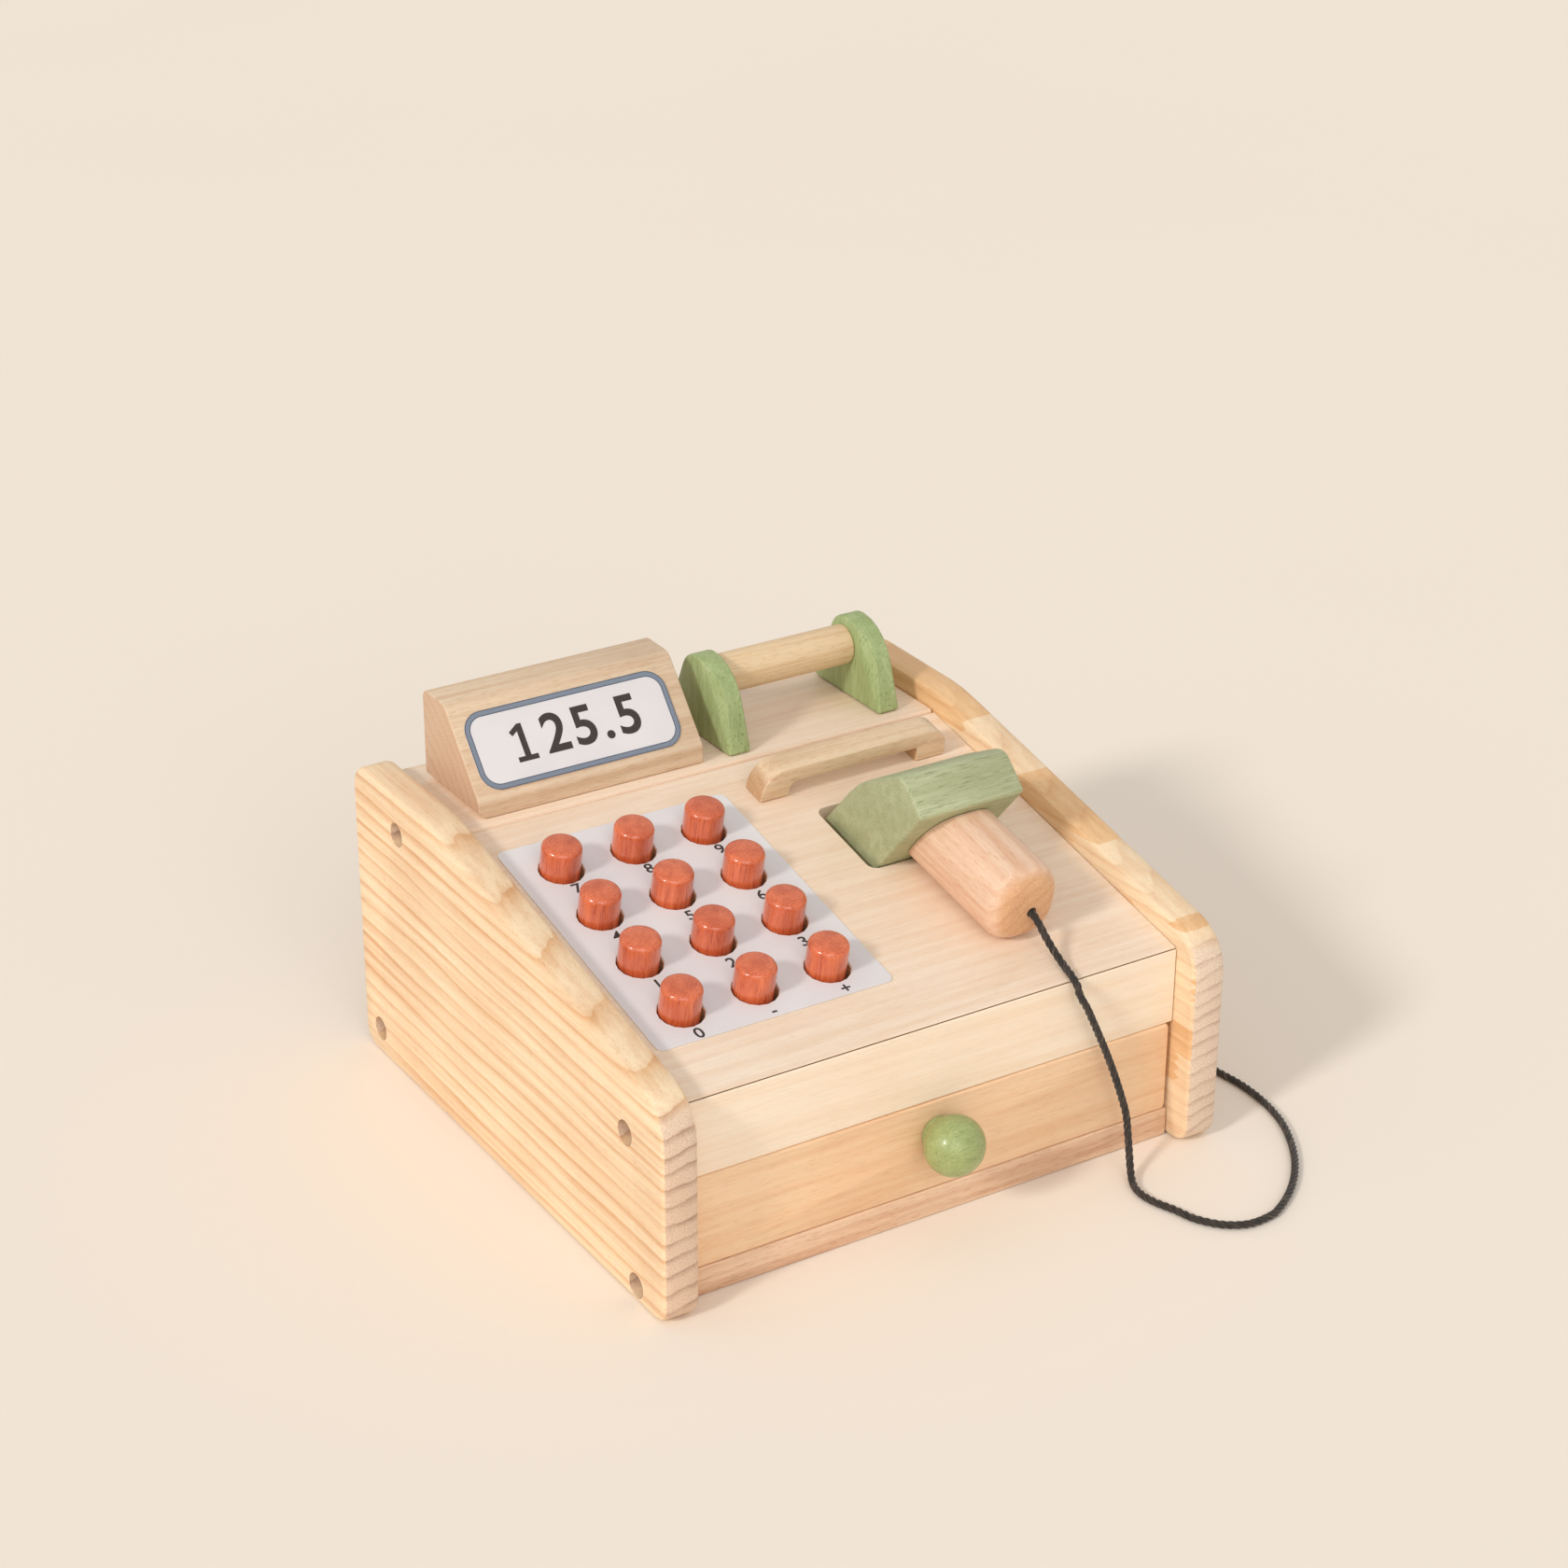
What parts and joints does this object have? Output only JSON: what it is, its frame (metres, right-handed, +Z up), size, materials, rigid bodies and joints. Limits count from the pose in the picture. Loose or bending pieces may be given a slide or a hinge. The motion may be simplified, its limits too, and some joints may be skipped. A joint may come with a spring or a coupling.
{
  "type": "toy cash register",
  "caption": "Wooden toy cash register with sprung number keys, a pull-out drawer, a slanted display, a paper-roll dowel, a card-reader arch and a hand scanner on a cord",
  "frame": {"origin": "centre of the register's footprint, without its cord, on the surface it stands on", "axes": "+X to the user's right, +Y to the back, +Z up"},
  "size_m": [0.2846, 0.3052, 0.1589],
  "materials": {
    "pine": "sanded pine with orange-brown rings",
    "base_wood": "sanded pinkish hardwood",
    "deck_wood": "sanded pale basswood",
    "drawer_wood": "sanded peach-coloured wood",
    "drawer_box_wood": "sanded pale plywood",
    "display_wood": "sanded light beech",
    "reader_wood": "sanded tan beech",
    "dowel_wood": "sanded tan beech",
    "handle_wood": "sanded natural beech",
    "green_stain": "sage green stained wood with open pores",
    "key_lacquer": "orange-red stained and lacquered wood",
    "spring_steel": "plain spring wire",
    "label_film": "satin printed film",
    "screw_steel": "plain steel",
    "cord_braid": "black-brown braided cord"
  },
  "bodies": {
    "root": {"left_side_panel": "pine", "right_side_panel": "pine", "base_board": "base_wood", "back_panel": "deck_wood", "rear_deck": "deck_wood", "front_rail": "deck_wood", "slope_deck": "deck_wood", "spring_board": "deck_wood", "display_block": "display_wood", "card_reader": "reader_wood", "bracket_left": "green_stain", "bracket_right": "green_stain", "button_0_spring": "spring_steel", "button_minus_spring": "spring_steel", "button_plus_spring": "spring_steel", "button_1_spring": "spring_steel", "button_2_spring": "spring_steel", "button_3_spring": "spring_steel", "button_4_spring": "spring_steel", "button_5_spring": "spring_steel", "button_6_spring": "spring_steel", "button_7_spring": "spring_steel", "button_8_spring": "spring_steel", "button_9_spring": "spring_steel", "keypad_label": "label_film", "display_label": "label_film", "left_base_screw": "screw_steel", "left_rail_screw": "screw_steel", "left_deck_screw": "screw_steel", "left_back_screw": "screw_steel", "right_base_screw": "screw_steel", "right_rail_screw": "screw_steel", "right_deck_screw": "screw_steel", "right_back_screw": "screw_steel", "cord_deck": "cord_braid", "cord_rear": "cord_braid"},
    "drawer": {"drawer_front": "drawer_wood", "drawer_left": "drawer_box_wood", "drawer_right": "drawer_box_wood", "drawer_back": "drawer_box_wood", "drawer_bottom": "drawer_box_wood", "drawer_knob": "green_stain", "knob_screw": "screw_steel", "cord_table": "cord_braid"},
    "roll": {"roll_dowel": "dowel_wood"},
    "scanner": {"scanner_head": "green_stain", "scanner_handle": "handle_wood"},
    "button_0": {"button_0": "key_lacquer"},
    "button_minus": {"button_minus": "key_lacquer"},
    "button_plus": {"button_plus": "key_lacquer"},
    "button_1": {"button_1": "key_lacquer"},
    "button_2": {"button_2": "key_lacquer"},
    "button_3": {"button_3": "key_lacquer"},
    "button_4": {"button_4": "key_lacquer"},
    "button_5": {"button_5": "key_lacquer"},
    "button_6": {"button_6": "key_lacquer"},
    "button_7": {"button_7": "key_lacquer"},
    "button_8": {"button_8": "key_lacquer"},
    "button_9": {"button_9": "key_lacquer"}
  },
  "joints": [
    {"name": "drawer_slide", "type": "slide", "parent": "root", "child": "drawer", "axis": [0, -1, 0], "range_m": [0, 0.13]},
    {"name": "roll_spin", "type": "hinge", "parent": "root", "child": "roll", "pos_m": [0.055, 0.09515, 0.1423], "axis": [1, 0, 0], "continuous": true},
    {"name": "scanner_lift", "type": "slide", "parent": "root", "child": "scanner", "axis": [0, -0.2035, 0.9791], "range_m": [0, 0.06]},
    {"name": "press_0", "type": "slide", "parent": "root", "child": "button_0", "axis": [0, 0.2035, -0.9791], "range_m": [0, 0.005], "stiffness_N_per_m": 150, "springref_m": -0.003, "deforming": ["button_0_spring"]},
    {"name": "press_minus", "type": "slide", "parent": "root", "child": "button_minus", "axis": [0, 0.2035, -0.9791], "range_m": [0, 0.005], "stiffness_N_per_m": 150, "springref_m": -0.003, "deforming": ["button_minus_spring"]},
    {"name": "press_plus", "type": "slide", "parent": "root", "child": "button_plus", "axis": [0, 0.2035, -0.9791], "range_m": [0, 0.005], "stiffness_N_per_m": 150, "springref_m": -0.003, "deforming": ["button_plus_spring"]},
    {"name": "press_1", "type": "slide", "parent": "root", "child": "button_1", "axis": [0, 0.2035, -0.9791], "range_m": [0, 0.005], "stiffness_N_per_m": 150, "springref_m": -0.003, "deforming": ["button_1_spring"]},
    {"name": "press_2", "type": "slide", "parent": "root", "child": "button_2", "axis": [0, 0.2035, -0.9791], "range_m": [0, 0.005], "stiffness_N_per_m": 150, "springref_m": -0.003, "deforming": ["button_2_spring"]},
    {"name": "press_3", "type": "slide", "parent": "root", "child": "button_3", "axis": [0, 0.2035, -0.9791], "range_m": [0, 0.005], "stiffness_N_per_m": 150, "springref_m": -0.003, "deforming": ["button_3_spring"]},
    {"name": "press_4", "type": "slide", "parent": "root", "child": "button_4", "axis": [0, 0.2035, -0.9791], "range_m": [0, 0.005], "stiffness_N_per_m": 150, "springref_m": -0.003, "deforming": ["button_4_spring"]},
    {"name": "press_5", "type": "slide", "parent": "root", "child": "button_5", "axis": [0, 0.2035, -0.9791], "range_m": [0, 0.005], "stiffness_N_per_m": 150, "springref_m": -0.003, "deforming": ["button_5_spring"]},
    {"name": "press_6", "type": "slide", "parent": "root", "child": "button_6", "axis": [0, 0.2035, -0.9791], "range_m": [0, 0.005], "stiffness_N_per_m": 150, "springref_m": -0.003, "deforming": ["button_6_spring"]},
    {"name": "press_7", "type": "slide", "parent": "root", "child": "button_7", "axis": [0, 0.2035, -0.9791], "range_m": [0, 0.005], "stiffness_N_per_m": 150, "springref_m": -0.003, "deforming": ["button_7_spring"]},
    {"name": "press_8", "type": "slide", "parent": "root", "child": "button_8", "axis": [0, 0.2035, -0.9791], "range_m": [0, 0.005], "stiffness_N_per_m": 150, "springref_m": -0.003, "deforming": ["button_8_spring"]},
    {"name": "press_9", "type": "slide", "parent": "root", "child": "button_9", "axis": [0, 0.2035, -0.9791], "range_m": [0, 0.005], "stiffness_N_per_m": 150, "springref_m": -0.003, "deforming": ["button_9_spring"]}
  ]
}
